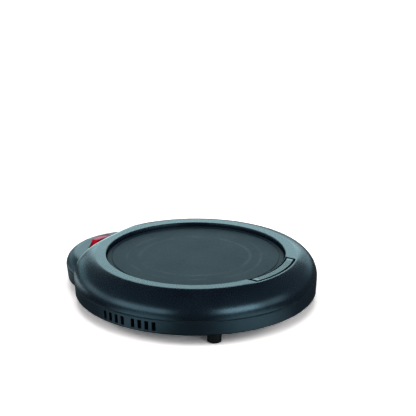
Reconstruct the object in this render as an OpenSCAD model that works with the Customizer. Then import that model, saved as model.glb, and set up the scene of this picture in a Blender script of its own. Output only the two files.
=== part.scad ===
// Electric mug warmer: a round two-part housing with a recessed heating plate,
// a lobed switch pod behind it and four rubber feet. The origin is on the table in
// the middle of the outline, +Z is up, -Y is the front and the pod is towards +Y.
// Every piece is drawn about the plate's axis and moved to the origin by centred().

/* [Round body] */
// Largest radius of the round body
body_r = 64.85; // [62:0.05:80]
// Draft of the lower housing's wall, from seam to bottom edge
base_draft = 0.45; // [0:0.05:1.5]
// Radius of the rounded shoulder
shoulder_r = 12; // [9:0.1:14]
// Straight wall above the seam
straight_h = 1.2; // [1:0.1:4]
// Height of the lower housing's side wall
base_wall_h = 7.9; // [6.6:0.1:9.5]
// Wall thickness of both housings
wall = 2.2; // [1.8:0.1:2.6]
// Thickness of the lower housing's floor
floor_t = 2; // [1.6:0.1:2.6]
// Open line between the two housings
seam_gap = 0.3; // [0.2:0.05:0.5]
// Height of the locating lip above the seam
lip_h = 2; // [1.4:0.1:2.4]
// Thickness of the locating lip
lip_t = 1.2; // [0.9:0.1:1.6]
// Clearance outside the locating lip
lip_clearance = 0.15; // [0.1:0.05:0.3]

/* [Plate recess] */
// Radius of the recess that holds the heating plate
recess_r = 47.7; // [39.5:0.1:48]
// Depth of the plate's surface below the top ring
recess_depth = 2; // [1.4:0.1:3]
// Width of the ledge under the plate's edge
ledge_w = 4.2; // [3.4:0.1:5.5]
// Thickness of the ledge
ledge_t = 2; // [1.6:0.1:2.6]
// Gap between the plate and the recess wall
plate_gap = 0.4; // [0.3:0.05:0.8]
// Thickness of the heating plate
plate_t = 1.2; // [0.8:0.1:2]
// Thickness of the silicone seal under the plate
seal_t = 1; // [0.8:0.1:1.6]
// Depth of the ring groove pressed into the plate
plate_groove_d = 0.25; // [0.1:0.05:0.4]

/* [Front inlay] */
// Length of the inlay strip, across the body
inlay_l = 37.4; // [26:0.2:42]
// Width of the inlay strip
inlay_w = 4.7; // [3.4:0.1:5]
// Width of the strip of housing inside the inlay
inlay_inset = 1.1; // [0.9:0.05:1.4]
// Thickness of the inlay
inlay_t = 1.2; // [0.8:0.1:1.3]
// Groove around the inlay
inlay_gap = 0.4; // [0.15:0.05:0.5]
// Grooves between the fine ribs across the inlay
inlay_grooves = 31; // [11:2:35]

/* [Switch pod] */
// Radius of the pod at the seam
pod_r = 37.8; // [31.5:0.1:45.4]
// Draft of the pod's lower wall, from seam to bottom edge
pod_draft = 0.9; // [0:0.1:2]
// Distance of the pod's back behind the plate's centre
pod_back = 76.8; // [75:0.1:92]
// Drop from the top ring to the pod's deck
deck_drop = 6.6; // [6:0.1:7.4]
// Distance of the step behind the plate's centre
step_y = 53.3; // [52.6:0.1:54]

/* [Rocker switch] */
// Length of the rocker, end to end
rocker_l = 20; // [16.6:0.1:24]
// Width of the rocker
rocker_w = 9; // [8:0.1:9.6]
// Height of the rocker's crown above its pivot
rocker_crown_h = 8.1; // [7.6:0.1:9]
// Radius of the rocker's crowned top
rocker_crown_r = 34; // [25:1:60]
// Wall thickness of the rocker
rocker_wall = 1.2; // [0.9:0.1:1.4]
// Tilt of the rocker to either side
rocker_tilt = 6; // [4:0.5:7]
// Depth of the pivot below the deck
pivot_drop = 4.4; // [4.2:0.1:5]
// Radius of the rocker's pivot pins
pin_r = 1.2; // [1:0.05:1.4]
// Running clearance round each pivot pin
pin_clearance = 0.05; // [0.02:0.01:0.1]
// Clearance round the rocker in the deck
rocker_gap = 0.35; // [0.25:0.05:0.5]
// Wall thickness of the switch case
case_t = 1.4; // [1.2:0.1:1.6]
// Radius of the spring plunger
plunger_r = 1.1; // [0.9:0.05:1.2]
// Reach of the plunger below the pivot
plunger_reach = 3.5; // [3.3:0.1:3.6]
// Half length of the contact lever
lever_half_l = 7.6; // [6.8:0.1:8.2]
// Width of the contact lever
lever_w = 4; // [3:0.1:4.6]
// Tilt of the contact lever to either side
lever_tilt = 4.5; // [3:0.5:5]

/* [Ventilation] */
// Width of a side slot
slot_w = 2.1; // [1.2:0.1:2.4]
// Angle between neighbouring side slots
slot_pitch = 3.5; // [3:0.1:4]
// Angle between the two groups of side slots
slot_group_gap = 5.6; // [5:0.1:8]
// Side slots in a group
slots_per_group = 4; // [2:1:5]
// Angle by which the side slots stand in front of the plate's centre
slot_lead = 0.55; // [0:0.05:2]
// Plain wall below the side slots
slot_low = 0.7; // [0.5:0.1:1.2]
// Plain wall above the side slots
slot_high = 1.3; // [0.8:0.1:1.6]
// Width of a floor slot
floor_slot_w = 2.4; // [1.6:0.1:3]

/* [Feet and case screws] */
// Height of the feet under the housing
foot_h = 5.7; // [4:0.1:8]
// Radius of a foot
foot_r = 3.7; // [3.2:0.1:4.5]
// Radius of a foot's stem in the floor
foot_stem_r = 2; // [1.6:0.1:2.4]
// Front feet to the left and right of the plate's centre
front_foot_x = 43; // [38:0.5:44]
// Front feet in front of the plate's centre
front_foot_y = 39; // [36:0.5:41]
// Rear feet to the left and right of the plate's centre
rear_foot_x = 34; // [31:0.5:36]
// Rear feet behind the plate's centre
rear_foot_y = 44; // [41:0.5:46]
// Distance of the case screws from the centre
screw_ring_r = 55; // [54:0.1:56]
// Shank radius of the case screws
screw_r = 1.45; // [1.2:0.05:1.6]

/* [Heater] */
// Gap between the mica sheets and the ledge
mica_gap = 2; // [0.6:0.1:3]
// Thickness of a mica sheet
mica_t = 0.4; // [0.3:0.05:0.6]
// Thickness of the heating track
track_t = 0.5; // [0.3:0.05:0.6]
// Width of the heating track
track_w = 2.4; // [1.6:0.1:3]
// Turns of the heating track
track_turns = 7; // [3:2:7]
// Distance of the studs inside the ledge
stud_inset = 5.5; // [4.5:0.1:7]
// Radius of a stud
stud_r = 1.5; // [1.2:0.1:2]
// Thickness of the clamp plate
clamp_t = 1; // [0.8:0.1:1.2]

/* [Cord inlet] */
// Radius of the cord's hole in the bush
cord_r = 2.9; // [2.4:0.1:3.1]
// Radius of the bush's neck
bush_neck_r = 3.9; // [3.6:0.1:4.1]
// Radius of the bush's lips
bush_lip_r = 4.7; // [4.4:0.1:4.8]
// Height of the cord's centre above the underside
cord_rise = 5.9; // [5.4:0.1:6.2]
// Radius of the internal leads
lead_r = 0.9; // [0.6:0.1:1]

/* [Hidden] */
$fn = 96;

// A length larger than the whole object, for cutting
far = 300;
// Overrun of a cutting tool past the face it cuts
over = 1;
// Gap between seated pieces that don't share a flat face
seat = 0.1;

// Heights above the table
underside_z = foot_h;
floor_z = underside_z + floor_t;
seam_z = underside_z + base_wall_h;
top_z = seam_z + straight_h + shoulder_r;
deck_z = top_z - deck_drop;
plate_top_z = top_z - recess_depth;
plate_z = plate_top_z - plate_t;
ledge_top_z = plate_z - seal_t;
ledge_z = ledge_top_z - ledge_t;
clamp_z = ledge_z - clamp_t;
cord_z = underside_z + cord_rise;
post_top_z = seam_z + 0.8;

// Radii and edges of the housings and the heater
pod_y = pod_back - pod_r;
ledge_r = recess_r - ledge_w;
plate_r = recess_r - plate_gap;
pod_shoulder_r = deck_z - seam_z;
mica_r = ledge_r - mica_gap;
stud_ring_r = ledge_r - stud_inset;
bottom_edge = 0.8;
rim_edge = 0.5;

// Screws of the case, as angles round the body
screw_angles = [-115.6, -64.4, 30, 150];
rib_angles = concat(screw_angles, [-141, -90, -39, -168, -12, 172, 8]);
rib_t = 1.2;
boss_r = 3.6;
post_r = 4.2;
screw_head_r = 2.9;
screw_head_t = 2.2;
screw_head_z = underside_z + 1.4;
screw_tip_z = top_z - 5.5;

// Barb that holds a foot's stem above the floor
foot_barb_r = foot_stem_r + 0.7;
foot_barb_h = 1.4;

// Posts that carry the heat shield
shield_post_xy = 24;
shield_post_r = 3;
shield_stake_r = 1.2;
shield_head_r = 1.9;
shield_z = floor_z + 2;
shield_t = 0.6;
shield_r = 37;
shield_rim_h = 1.6;

// Inlay and its pegs
inlay_r = recess_r + inlay_inset;
inlay_peg_x = inlay_l * 0.32;
inlay_peg_r = 0.9;
inlay_peg_y = -sqrt(pow(inlay_r + inlay_w / 2, 2) - pow(inlay_peg_x, 2));

// Switch
pivot_z = deck_z - pivot_drop;
rocker_y = step_y + rocker_gap + 0.2 + rocker_w / 2 + rocker_gap;
rocker_end_r = rocker_l / 2 + 0.4;
case_in_x = rocker_l / 2 + rocker_gap + 0.1;
case_in_y = rocker_w / 2 + rocker_gap;
case_top_z = deck_z - wall;
case_z = floor_z + 0.6;
case_floor_z = case_z + 1.2;
ear_x = case_in_x + case_t + 3.2;
ear_r = 2.9;
ear_z = case_top_z - 5.8;
ear_top_z = case_top_z - 4;
blade_t = 0.8;
blade_w = 4.8;
blade_pitch = 8;
blade_top_z = case_floor_z + blade_t;
blade_y = rocker_y - 13;
lever_t = 0.6;
lever_z = pivot_z - plunger_reach - 0.3 - lever_t;
knife_z = lever_z + 0.15;
rivet_h = lever_z - lever_half_l * sin(lever_tilt) - blade_top_z - seat;
lamp_x = 5.4;
lamp_r = 1.5;
resistor_r = 1.1;
bracket_top_z = pivot_z - 2.75;
bracket_h = 0.8;

// Heater studs, track and the notch for its tabs
stud_angles = [45, 135, 225, 315];
stud_tip_z = clamp_z - 3.4;
washer_t = 0.5;
nut_t = 2.4;
pad_t = seal_t + ledge_t - 2 * mica_t - track_t;
track_z = plate_z - mica_t - track_t;
track_in_r = 8;
track_stud_gap = 3.3;
track_out_r = stud_ring_r - stud_r - track_w / 2 - track_stud_gap;
track_pitch = (track_out_r - track_in_r) / (track_turns - 1);
track_gate = 6.5;
tab_y = track_out_r + 4.6;
tab_x = track_gate + 2;
tab_w = 3;
tab_z = clamp_z - 3.1;
notch_x = -5;
notch_w = 19;
notch_y = tab_y - 2.2;

// Thermostat and fuse under the clamp plate
stat_x = -14;
stat_y = 6;
stat_r = 8;
stat_cap_h = 2.5;
stat_case_r = 7.7;
stat_z = floor_z + 3.6;
stat_ear_x = 12;
stat_blade_x = 4.6;
stat_blade_y = 14.4;
stat_blade_z = stat_z + 1.4;
fuse_x = 16;
fuse_y = 9.5;
fuse_r = 2;
fuse_clip_r = fuse_r + 0.6;
fuse_z = clamp_z - fuse_clip_r;
fuse_l = 11;
fuse_ear_x = 5.6;

// Cord bush and clamp
bush_face_y = pod_back - 0.85;
bush_seat_t = 2.7;
bush_lip_t = 1.1;
clamp_y = bush_face_y - 7.75;
clamp_w = 5;
clamp_post_x = 8.4;
clamp_post_r = 2.9;
clamp_bar_t = 1.6;
clamp_arch_r = cord_r + 1.5;

// The plate's axis, measured from the middle of the whole outline
axis_y = -(bush_face_y + bush_lip_t - body_r) / 2;

// Splice caps and the routes of the leads between the inner pieces
splice_r = 3;
splice_x = ear_x + ear_r + splice_r + 0.55;
splice_y = 41;
splice_l = 11;
splice_z = floor_z + splice_r + 0.1;
sleeve_w = 6.2;
sleeve_t = 2.8;
sleeve_on = 4.6;
sleeve_tail = 3.4;
barrel_r = 1.3;
barrel_l = 2.8;
blade_mid_z = blade_top_z - blade_t / 2;
lead_end_y = blade_y - 0.3;
sleeve_end_y = blade_y - sleeve_tail - 0.4;
stat_lead_y = stat_y + stat_blade_y + 0.3;
stat_sleeve_y = stat_y + stat_blade_y + sleeve_tail + 0.4;
tab_lead_y = tab_y - track_t - barrel_l / 2 - 0.1;
tab_mid_z = tab_z + 1.4;
fuse_wire_y = fuse_l / 2 + 3.2;
FEED_ROUTE = [
    [-splice_x, splice_y - 0.2, splice_z], [-splice_x, 38.4, 10.8], [-17, 37.4, 10.4],
    [-12, 38, 10.2], [-8, 38.6, blade_mid_z], [-blade_pitch, sleeve_end_y, blade_mid_z],
    [-blade_pitch, lead_end_y, blade_mid_z]
];
LAMP_ROUTE = [
    [splice_x - 1.1, splice_y - 0.2, splice_z], [splice_x - 1.1, 38.4, 10.8], [17, 37.4, 10.4],
    [12, 38, 10.2], [8, 38.6, blade_mid_z], [blade_pitch, sleeve_end_y, blade_mid_z],
    [blade_pitch, lead_end_y, blade_mid_z]
];
THERMOSTAT_ROUTE = [
    [0, lead_end_y, blade_mid_z], [0, sleeve_end_y, blade_mid_z], [0, 39.6, 10.4],
    [-2, 37.4, 14.2], [-8, 35.6, 14.6], [-15, 34.6, 13.8], [-18.6, 31, 13.2],
    [stat_x - stat_blade_x, 27.5, stat_blade_z], [stat_x - stat_blade_x, stat_sleeve_y, stat_blade_z],
    [stat_x - stat_blade_x, stat_lead_y, stat_blade_z]
];
ELEMENT_ROUTE = [
    [stat_x + stat_blade_x, stat_lead_y, stat_blade_z],
    [stat_x + stat_blade_x, stat_sleeve_y, stat_blade_z], [-9.4, 27.5, 13.2], [-6, 29.4, 15.6],
    [-2, tab_lead_y - 5.8, 17.2], [0, tab_lead_y - 4.6, tab_mid_z],
    [0, tab_lead_y - barrel_l, tab_mid_z], [0, tab_lead_y, tab_mid_z]
];
FUSE_ROUTE = [
    [tab_x, tab_lead_y, tab_mid_z], [tab_x, tab_lead_y - barrel_l, tab_mid_z],
    [9, tab_lead_y - 5.6, 17], [12.6, 27, fuse_z], [16, 25.2, fuse_z],
    [fuse_x, fuse_y + fuse_wire_y + 3, fuse_z], [fuse_x, fuse_y + fuse_wire_y, fuse_z]
];
NEUTRAL_ROUTE = [
    [fuse_x, fuse_y - fuse_wire_y, fuse_z], [fuse_x, fuse_y - fuse_wire_y - 3, fuse_z],
    [17, -7, 16], [25, -6.5, 14.6], [29, 2, 13.6], [29.5, 16, 13.2], [28, 30, 13],
    [25.4, 36, 12.6], [splice_x + 1.1, 37.6, splice_z], [splice_x + 1.1, splice_y - 0.2, splice_z]
];

// Moves a child from the plate's axis to the middle of the whole outline
module centred() {
    translate([0, axis_y, 0])
        children();
}

// Keeps what lies between two heights
module slab(low, high) {
    intersection() {
        children();
        translate([-far / 2, -far / 2, low])
            cube([far, far, high - low]);
    }
}

// Keeps what lies in front of a plane
module front_of(y) {
    intersection() {
        children();
        translate([-far / 2, y - far, -far / 2])
            cube(far);
    }
}

// Copies a child to each case screw
module at_case_screws() {
    for (a = screw_angles)
        rotate(a)
            translate([screw_ring_r, 0, 0])
                children();
}

// Copies a child to each stud of the heating plate
module at_studs() {
    for (a = stud_angles)
        rotate(a)
            translate([stud_ring_r, 0, 0])
                children();
}

// A cylinder along +Y that starts at y
module rod_y(y, length, r) {
    translate([0, y, 0])
        rotate([-90, 0, 0])
            cylinder(h = length, r = r);
}

// Solid form of the round body above the seam, drawn in by inset
module ring_form(inset) {
    front_of(step_y - inset)
        rotate_extrude() {
            square([body_r - shoulder_r, top_z - inset]);
            square([body_r - inset, top_z - shoulder_r]);
            translate([body_r - shoulder_r, top_z - shoulder_r])
                circle(shoulder_r - inset);
        }
}

// Solid form of the pod above the seam, drawn in by inset
module pod_form(inset) {
    translate([0, pod_y, 0])
        rotate_extrude() {
            square([pod_r - pod_shoulder_r, deck_z - inset]);
            square([pod_r - inset, seam_z]);
            translate([pod_r - pod_shoulder_r, seam_z])
                circle(pod_shoulder_r - inset);
        }
}

// Both together: the outside of the top housing
module upper_form(inset) {
    ring_form(inset);
    pod_form(inset);
}

// Section of the lower housing between the underside and the seam
module lower_section(edge_r, seam_r, inset, low) {
    polygon([
        [0, low], [edge_r - bottom_edge - inset, low], [edge_r - inset, low + bottom_edge],
        [seam_r - inset, seam_z], [seam_r - inset, seam_z + over], [0, seam_z + over]
    ]);
}

// Solid form of the lower housing, drawn in by inset
module lower_form(inset, low) {
    front_of(step_y - inset)
        rotate_extrude()
            lower_section(body_r - base_draft, body_r, inset, low);
    translate([0, pod_y, 0])
        rotate_extrude()
            lower_section(pod_r - pod_draft, pod_r, inset, low);
}

// Room for the cord bush in the pod's rear wall
module bush_cut() {
    translate([0, 0, cord_z]) {
        rod_y(bush_face_y - bush_seat_t - over, bush_seat_t + 2 * over, bush_neck_r + seat);
        rod_y(bush_face_y, far / 10, bush_lip_r + seat);
        rod_y(bush_face_y - bush_seat_t - 2 * bush_lip_t, 2 * bush_lip_t, bush_lip_r + 2 * seat);
    }
}

// Pad inside the rear wall that the bush's lips close on
module bush_pad() {
    translate([0, 0, cord_z])
        rod_y(bush_face_y - bush_seat_t, bush_seat_t, bush_lip_r + 1.6);
}

module top_housing() {
    color("#1d2831") centred()
        difference() {
            slab(seam_z, top_z) {
                difference() {
                    upper_form(0);
                    upper_form(wall);
                }
                plate_cup();
                intersection() {
                    upper_form(wall / 2);
                    inner_posts();
                }
            }
            plate_opening();
            rocker_opening();
            inlay_pocket();
            at_case_screws()
                translate([0, 0, post_top_z - over])
                    cylinder(h = screw_tip_z + over - post_top_z + 0.5, r = screw_r + seat / 2);
            for (x = [-ear_x, ear_x])
                translate([x, rocker_y, ear_top_z - over])
                    cylinder(h = case_top_z - ear_top_z + 2, r = 1);
            bush_cut();
        }
}

// Cup of the plate's recess with the ledge at its foot
module plate_cup() {
    translate([0, 0, ledge_z])
        cylinder(h = top_z - ledge_z, r = recess_r + wall);
}

module plate_opening() {
    translate([0, 0, ledge_top_z])
        cylinder(h = far / 10, r = recess_r);
    translate([0, 0, ledge_z - over])
        cylinder(h = far / 10, r = ledge_r);
    rotate_extrude()
        difference() {
            translate([recess_r - over, top_z - rim_edge])
                square([rim_edge + over, rim_edge + over]);
            translate([recess_r + rim_edge, top_z - rim_edge])
                circle(rim_edge, $fn = 32);
        }
}

// Screw bosses, ribs and the bush pad under the top housing
module inner_posts() {
    at_case_screws()
        translate([0, 0, post_top_z])
            cylinder(h = far / 10, r = boss_r);
    for (a = rib_angles)
        rotate(a)
            translate([recess_r + wall / 2, -rib_t / 2, ledge_z])
                cube([body_r - recess_r, rib_t, top_z - ledge_z]);
    for (x = [-ear_x, ear_x])
        translate([x, rocker_y, ear_top_z])
            cylinder(h = far / 10, r = ear_r);
    bush_pad();
}

module rocker_opening() {
    translate([-case_in_x, rocker_y - case_in_y, case_top_z - over])
        cube([2 * case_in_x, 2 * case_in_y, wall + 2 * over]);
}

// Strip between two arcs with parallel ends, grown by a gap
module inlay_strip(gap, thick) {
    intersection() {
        difference() {
            cylinder(h = thick, r = inlay_r + inlay_w + gap);
            translate([0, 0, -over])
                cylinder(h = thick + 2 * over, r = inlay_r - gap);
        }
        translate([-inlay_l / 2 - gap, -far / 2, 0])
            cube([inlay_l + 2 * gap, far / 2, thick]);
    }
}

module inlay_pocket() {
    translate([0, 0, top_z - inlay_t - seat])
        inlay_strip(inlay_gap, inlay_t + over);
    for (x = [-inlay_peg_x, inlay_peg_x])
        translate([x, inlay_peg_y, top_z - wall - over])
            cylinder(h = wall + over, r = inlay_peg_r + seat);
}

module front_inlay() {
    groove_w = 0.3;
    groove_d = 0.12;
    pitch = 0.86 * 2 * asin(inlay_l / 2 / (inlay_r + inlay_w)) / (inlay_grooves - 1);
    color("#8fa5a6") centred() {
        difference() {
            translate([0, 0, top_z - inlay_t])
                inlay_strip(0, inlay_t);
            for (n = [0:inlay_grooves - 1])
                rotate(-90 + (n - (inlay_grooves - 1) / 2) * pitch)
                    translate([inlay_r + 0.7, -groove_w / 2, top_z - groove_d])
                        cube([inlay_w - 1.4, groove_w, over]);
        }
        for (x = [-inlay_peg_x, inlay_peg_x])
            translate([x, inlay_peg_y, top_z - wall - 0.4])
                cylinder(h = wall, r = inlay_peg_r);
    }
}

module base_housing() {
    color("#1a232b") centred()
        difference() {
            union() {
                slab(underside_z, seam_z - seam_gap)
                    difference() {
                        lower_form(0, underside_z);
                        lower_form(wall, floor_z);
                    }
                locating_lip();
                base_posts();
                slab(floor_z, seam_z - seam_gap)
                    intersection() {
                        bush_pad();
                        lower_form(wall / 2, underside_z);
                    }
            }
            side_slots();
            floor_slots();
            base_holes();
            bush_cut();
        }
}

// Lip that stands up inside the top housing, open behind at the cord bush
module locating_lip() {
    root_z = seam_z - seam_gap - 2;
    out = wall + lip_clearance;
    difference() {
        union() {
            slab(root_z, seam_z - seam_gap)
                lower_form(wall / 2, underside_z);
            slab(root_z, seam_z + lip_h)
                upper_form(out);
        }
        slab(0, far)
            upper_form(out + lip_t);
        translate([-bush_lip_r - 2.4, bush_face_y - 10, seam_z - seam_gap])
            cube([2 * bush_lip_r + 4.8, 20, 2 * lip_h]);
    }
}

// Posts for the case screws, the heat shield and the cord clamp
module base_posts() {
    at_case_screws()
        translate([0, 0, underside_z])
            cylinder(h = post_top_z - underside_z, r = post_r);
    for (x = [-shield_post_xy, shield_post_xy], y = [-shield_post_xy, shield_post_xy])
        translate([x, y, floor_z - over]) {
            cylinder(h = shield_z - floor_z + over, r = shield_post_r);
            cylinder(h = shield_z + shield_t - floor_z + over, r = shield_stake_r);
            translate([0, 0, shield_z + shield_t - floor_z + over])
                cylinder(h = 0.9, r1 = shield_head_r, r2 = shield_stake_r);
        }
    for (x = [-clamp_post_x, clamp_post_x])
        translate([x, clamp_y, floor_z - over])
            cylinder(h = cord_z - floor_z + over, r = clamp_post_r);
    translate([-clamp_post_x, clamp_y - 0.8, floor_z - over])
        cube([2 * clamp_post_x, 1.6, cord_z - cord_r - seat - floor_z + over]);
}

// Upright slots in the side wall, in two groups on each side
module side_slots() {
    low = underside_z + bottom_edge + slot_low;
    high = seam_z - seam_gap - slot_high;
    for (side = [0, 1], sign = [-1, 1], n = [0:slots_per_group - 1])
        mirror([side, 0, 0])
            rotate(-slot_lead + sign * (slot_group_gap / 2 + n * slot_pitch))
                translate([body_r - wall - 5, -slot_w / 2, low])
                    cube([wall + 8, slot_w, high - low]);
}

// Slots in the floor, in two fields of five
module floor_slots() {
    for (side = [-1, 1], n = [-2:2])
        translate([side * 13 - 9, n * 6 - floor_slot_w / 2, underside_z - over])
            cube([18, floor_slot_w, floor_t + 2 * over]);
}

// Holes for the feet and the screws
module base_holes() {
    at_case_screws() {
        translate([0, 0, underside_z - over])
            cylinder(h = far / 10, r = screw_r + 0.25);
        translate([0, 0, underside_z - over])
            cylinder(h = screw_head_z + screw_head_t - underside_z + over, r = screw_head_r + 0.3);
    }
    for (side = [-1, 1], place = [[front_foot_x, -front_foot_y], [rear_foot_x, rear_foot_y]])
        translate([side * place[0], place[1], underside_z - over])
            cylinder(h = floor_t + 2 * over, r = foot_stem_r + seat);
    for (x = [-clamp_post_x, clamp_post_x])
        translate([x, clamp_y, floor_z])
            cylinder(h = far / 10, r = 1);
}

// Pressed steel plate with four weld studs
module hot_plate() {
    color("#3a4247") centred() {
        translate([0, 0, plate_z])
            difference() {
                rotate_extrude()
                    difference() {
                        union() {
                            square([plate_r - 0.5, plate_t]);
                            square([plate_r, plate_t - 0.5]);
                            translate([plate_r - 0.5, plate_t - 0.5])
                                circle(0.5, $fn = 32);
                        }
                        translate([plate_r - 2.9, plate_t - plate_groove_d])
                            square([0.8, over]);
                    }
            }
        at_studs()
            translate([0, 0, stud_tip_z])
                cylinder(h = plate_z - stud_tip_z + 0.2, r = stud_r);
    }
}

module plate_seal() {
    color("#8d8377") centred()
        translate([0, 0, ledge_top_z])
            difference() {
                cylinder(h = seal_t, r = recess_r - 0.3);
                translate([0, 0, -over])
                    cylinder(h = seal_t + 2 * over, r = ledge_r + 0.3);
            }
}

// Round sheet with stud holes, and a notch for the tabs if wanted
module heater_sheet(low, thick, r, notched) {
    translate([0, 0, low])
        difference() {
            cylinder(h = thick, r = r);
            at_studs()
                translate([0, 0, -over])
                    cylinder(h = thick + 2 * over, r = stud_r + 0.2);
            if (notched)
                translate([notch_x, notch_y, -over])
                    cube([notch_w, far / 10, thick + 2 * over]);
        }
}

module upper_mica_sheet() {
    color("#b9a574") centred()
        heater_sheet(plate_z - mica_t, mica_t, mica_r, false);
}

module lower_mica_sheet() {
    color("#b9a574") centred()
        heater_sheet(track_z - mica_t, mica_t, mica_r, true);
}

module insulation_pad() {
    color("#e4e1d8") centred()
        heater_sheet(ledge_z, pad_t, mica_r, true);
}

// One long resistance track: turns that join at alternate sides of the gate
module heating_track() {
    color("#9b9489") centred() {
        translate([0, 0, track_z])
            linear_extrude(track_t) {
                difference() {
                    for (n = [0:track_turns - 1])
                        track_turn(track_in_r + n * track_pitch);
                    translate([-track_gate, 0])
                        square([2 * track_gate, far / 4]);
                }
                for (n = [0:track_turns - 2])
                    track_link(n);
                translate([-track_w / 2, track_in_r - track_w])
                    square([track_w, tab_y - track_in_r + track_w]);
                translate([-track_gate - track_w / 2, track_in_r - track_w - 1.6])
                    square([track_gate + track_w, track_w]);
                translate([track_gate, track_out_r - track_w / 2 - 0.6])
                    square([track_w + 1, tab_y - track_out_r + track_w / 2 + 0.6]);
            }
        for (x = [0, tab_x])
            translate([x - tab_w / 2, tab_y - track_t, tab_z])
                cube([tab_w, track_t, track_z + track_t - tab_z]);
    }
}

module track_turn(r) {
    difference() {
        circle(r + track_w / 2);
        circle(r - track_w / 2);
    }
}

// Link between turn n and the next, at the gate's right for even turns
module track_link(n) {
    side = n % 2 == 0 ? 1 : -1;
    r = track_in_r + n * track_pitch;
    y = sqrt(max(pow(r, 2) - pow(track_gate, 2), 0));
    x = side > 0 ? track_gate : -track_gate - track_w;
    translate([x, y - track_w / 2 - 0.2])
        square([track_w, track_pitch + track_w]);
}

module clamp_plate() {
    rim_r = ledge_r + 3;
    color("#aeb3b5") centred()
        difference() {
            union() {
                heater_sheet(clamp_z, clamp_t, rim_r, false);
                translate([0, 0, clamp_z - 2])
                    difference() {
                        cylinder(h = 2 + clamp_t / 2, r = rim_r);
                        translate([0, 0, -over])
                            cylinder(h = 4 + clamp_t, r = rim_r - 0.8);
                    }
            }
            translate([notch_x, notch_y, clamp_z - 3])
                cube([notch_w, far / 10, 3 + clamp_t + over]);
            for (x = [-stat_ear_x, stat_ear_x])
                translate([stat_x + x, stat_y, clamp_z - over])
                    cylinder(h = clamp_t + 2 * over, r = 1.5);
            translate([fuse_x + fuse_ear_x, fuse_y, clamp_z - over])
                cylinder(h = clamp_t + 2 * over, r = 1.25);
        }
}

module clamp_washers() {
    color("#c9cccd") centred()
        at_studs()
            translate([0, 0, clamp_z - washer_t])
                difference() {
                    cylinder(h = washer_t, r = 3.3);
                    translate([0, 0, -over])
                        cylinder(h = washer_t + 2 * over, r = stud_r + seat);
                }
}

module clamp_nuts() {
    color("#c9cccd") centred()
        at_studs()
            translate([0, 0, clamp_z - washer_t - nut_t])
                difference() {
                    cylinder(h = nut_t, r = 3.17, $fn = 6);
                    translate([0, 0, -over])
                        cylinder(h = nut_t + 2 * over, r = stud_r + seat / 2);
                }
}

module thermostat_cap() {
    color("#c4c8ca") centred()
        translate([stat_x, stat_y, 0])
            difference() {
                union() {
                    translate([0, 0, clamp_z - stat_cap_h])
                        cylinder(h = stat_cap_h, r = stat_r);
                    translate([-stat_ear_x, -3.2, clamp_z - 0.6])
                        cube([2 * stat_ear_x, 6.4, 0.6]);
                    for (x = [-stat_ear_x, stat_ear_x])
                        translate([x, 0, clamp_z - 0.6])
                            cylinder(h = 0.6, r = 3.2);
                }
                for (x = [-stat_ear_x, stat_ear_x])
                    translate([x, 0, clamp_z - 2])
                        cylinder(h = 4, r = 1.6);
            }
}

module thermostat_case() {
    case_h = clamp_z - stat_cap_h - stat_z;
    color("#2b2320") centred()
        translate([stat_x, stat_y, stat_z])
            difference() {
                union() {
                    cylinder(h = case_h, r = stat_case_r);
                    translate([-6.6, 0, 0])
                        cube([13.2, 8.4, 3]);
                }
                for (x = [-stat_blade_x, stat_blade_x])
                    translate([x - 2.4 - seat, 4 - seat, 1.4 - 0.4 - seat])
                        cube([4.8 + 2 * seat, 9, 0.8 + 2 * seat]);
            }
}

module thermostat_terminals() {
    color("#c9b27c") centred()
        for (x = [-stat_blade_x, stat_blade_x])
            translate([stat_x + x - 2.4, stat_y + 4, stat_blade_z - 0.4])
                cube([4.8, stat_blade_y - 4, 0.8]);
}

// Pan-head screw that points up from z: head below with a cross recess, shank above
module screw_up(head_r, head_t, shank_r, length) {
    drive_l = head_r * 1.1;
    drive_w = head_r * 0.26;
    difference() {
        translate([0, 0, -head_t])
            cylinder(h = head_t, r = head_r);
        for (a = [0, 90])
            rotate(a)
                translate([-drive_l / 2, -drive_w / 2, -head_t - over])
                    cube([drive_l, drive_w, head_t * 0.55 + over]);
    }
    cylinder(h = length, r = shank_r);
}

module thermostat_screws() {
    color("#c9cccd") centred()
        for (x = [-stat_ear_x, stat_ear_x])
            translate([stat_x + x, stat_y, clamp_z - 0.6])
                screw_up(2.6, 1.8, 1.4, 0.6 + clamp_t - 0.1);
}

module thermal_fuse() {
    color("#b8bcbe") centred()
        translate([fuse_x, 0, fuse_z]) {
            rod_y(fuse_y - fuse_l / 2, fuse_l, fuse_r);
            rod_y(fuse_y - fuse_l / 2 - 3, fuse_l + 6, 0.5);
            translate([0, fuse_y + fuse_l / 2, 0])
                rotate([-90, 0, 0])
                    cylinder(h = 1.6, r1 = fuse_r, r2 = 0.8);
        }
}

module fuse_clip() {
    color("#c4c8ca") centred()
        translate([fuse_x, fuse_y, 0])
            difference() {
                union() {
                    translate([0, 0, fuse_z])
                        rod_y(-2.5, 5, fuse_clip_r);
                    translate([0, -2.5, clamp_z - 0.6])
                        cube([fuse_ear_x + 2.8, 5, 0.6]);
                }
                translate([0, 0, fuse_z])
                    rod_y(-2.5 - over, 5 + 2 * over, fuse_r + seat);
                translate([fuse_ear_x, 0, clamp_z - 2])
                    cylinder(h = 4, r = 1.3);
            }
}

module fuse_screw() {
    color("#c9cccd") centred()
        translate([fuse_x + fuse_ear_x, fuse_y, clamp_z - 0.6])
            screw_up(2.2, 1.6, 1.15, 0.6 + clamp_t - 0.1);
}

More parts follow.
